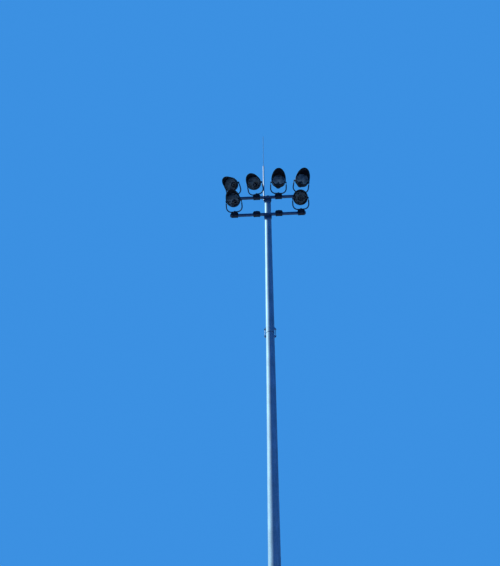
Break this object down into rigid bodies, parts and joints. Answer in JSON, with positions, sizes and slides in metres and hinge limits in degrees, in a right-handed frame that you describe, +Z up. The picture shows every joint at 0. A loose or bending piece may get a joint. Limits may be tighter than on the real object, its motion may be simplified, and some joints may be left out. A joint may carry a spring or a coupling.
{
  "type": "high mast floodlight tower",
  "caption": "Tapered steel mast in two lengths with crossarms in front of its head and floodlights that pan and tilt, and a lightning rod.",
  "frame": {"origin": "centre of the base flange's underside, at the top of the foundation", "axes": "+Z up along the mast, crossarms along X, floodlights face -Y"},
  "size_m": [3.6184, 1.4385, 24.94],
  "materials": {
    "galvanised_steel": "hot-dip galvanised, matt spangle",
    "crossarm_steel": "weathered galvanised",
    "cast_block": "dark painted casting",
    "zinc_bolt": "zinc-coated hardware",
    "yoke_steel": "dark painted pipe",
    "floodlight_paint": "dark baked paint",
    "lens_glass": "clear tempered glass",
    "lamp_envelope": "frosted lamp envelope",
    "bright_aluminium": "bright tube",
    "lightning_rod_steel": "dull rod"
  },
  "bodies": {
    "mast": {"base_flange": "galvanised_steel", "lower_shaft": "galvanised_steel", "upper_shaft": "galvanised_steel", "shaft_cap": "galvanised_steel", "joint_lugs": "galvanised_steel", "jacking_bolts": "zinc_bolt", "handhole_frame": "galvanised_steel", "handhole_cover": "galvanised_steel", "upper_crossarm": "crossarm_steel", "lower_crossarm": "crossarm_steel", "crossarm_end_caps": "crossarm_steel", "upper_arm_bracket": "crossarm_steel", "lower_arm_bracket": "crossarm_steel", "upper_mounting_blocks": "cast_block", "lower_mounting_blocks": "cast_block", "lightning_tube": "bright_aluminium", "lightning_clamps": "zinc_bolt", "lightning_rod": "lightning_rod_steel"},
    "yoke_1": {"yoke_1": "yoke_steel"},
    "floodlight_1": {"reflector_1": "floodlight_paint", "lamp_housing_1": "floodlight_paint", "lens_1": "lens_glass", "visor_1": "floodlight_paint", "arc_lamp_1": "lamp_envelope"},
    "yoke_2": {"yoke_2": "yoke_steel"},
    "floodlight_2": {"reflector_2": "floodlight_paint", "lamp_housing_2": "floodlight_paint", "lens_2": "lens_glass", "visor_2": "floodlight_paint", "arc_lamp_2": "lamp_envelope"},
    "yoke_3": {"yoke_3": "yoke_steel"},
    "floodlight_3": {"reflector_3": "floodlight_paint", "lamp_housing_3": "floodlight_paint", "lens_3": "lens_glass", "visor_3": "floodlight_paint", "arc_lamp_3": "lamp_envelope"},
    "yoke_4": {"yoke_4": "yoke_steel"},
    "floodlight_4": {"reflector_4": "floodlight_paint", "lamp_housing_4": "floodlight_paint", "lens_4": "lens_glass", "visor_4": "floodlight_paint", "arc_lamp_4": "lamp_envelope"},
    "yoke_5": {"yoke_5": "yoke_steel"},
    "floodlight_5": {"reflector_5": "floodlight_paint", "lamp_housing_5": "floodlight_paint", "lens_5": "lens_glass", "visor_5": "floodlight_paint", "arc_lamp_5": "lamp_envelope"},
    "yoke_6": {"yoke_6": "yoke_steel"},
    "floodlight_6": {"reflector_6": "floodlight_paint", "lamp_housing_6": "floodlight_paint", "lens_6": "lens_glass", "visor_6": "floodlight_paint", "arc_lamp_6": "lamp_envelope"}
  },
  "joints": [
    {"name": "pan_1", "type": "hinge", "parent": "mast", "child": "yoke_1", "pos_m": [-1.35, -0.2, 21.21], "axis": [0, 0, 1], "range_deg": [0, 48]},
    {"name": "tilt_1", "type": "hinge", "parent": "yoke_1", "child": "floodlight_1", "pos_m": [-1.45982, -0.44666, 21.635], "axis": [0.9135, -0.4067, 0], "range_deg": [-46, 29]},
    {"name": "pan_2", "type": "hinge", "parent": "mast", "child": "yoke_2", "pos_m": [-0.45, -0.2, 21.21], "axis": [0, 0, 1], "range_deg": [-9, 39]},
    {"name": "tilt_2", "type": "hinge", "parent": "yoke_2", "child": "floodlight_2", "pos_m": [-0.51988, -0.4608, 21.635], "axis": [0.9659, -0.2588, 0], "range_deg": [-38, 37]},
    {"name": "pan_3", "type": "hinge", "parent": "mast", "child": "yoke_3", "pos_m": [0.45, -0.2, 21.21], "axis": [0, 0, 1], "range_deg": [-28, 20]},
    {"name": "tilt_3", "type": "hinge", "parent": "yoke_3", "child": "floodlight_3", "pos_m": [0.46883, -0.46934, 21.635], "axis": [0.9976, 0.0698, 0], "range_deg": [-10, 65]},
    {"name": "pan_4", "type": "hinge", "parent": "mast", "child": "yoke_4", "pos_m": [1.35, -0.2, 21.21], "axis": [0, 0, 1], "range_deg": [-40, 8]},
    {"name": "tilt_4", "type": "hinge", "parent": "yoke_4", "child": "floodlight_4", "pos_m": [1.42442, -0.45954, 21.635], "axis": [0.9613, 0.2756, 0], "range_deg": [-15, 60]},
    {"name": "pan_5", "type": "hinge", "parent": "mast", "child": "yoke_5", "pos_m": [-1.35, -0.2, 20.29], "axis": [0, 0, 1], "range_deg": [-19, 29]},
    {"name": "tilt_5", "type": "hinge", "parent": "yoke_5", "child": "floodlight_5", "pos_m": [-1.37353, -0.46897, 20.715], "axis": [0.9962, -0.0872, 0], "range_deg": [-32, 43]},
    {"name": "pan_6", "type": "hinge", "parent": "mast", "child": "yoke_6", "pos_m": [1.35, -0.2, 20.29], "axis": [0, 0, 1], "range_deg": [-22, 26]},
    {"name": "tilt_6", "type": "hinge", "parent": "yoke_6", "child": "floodlight_6", "pos_m": [1.34058, -0.46984, 20.715], "axis": [0.9994, -0.0349, 0], "range_deg": [-48, 27]}
  ]
}
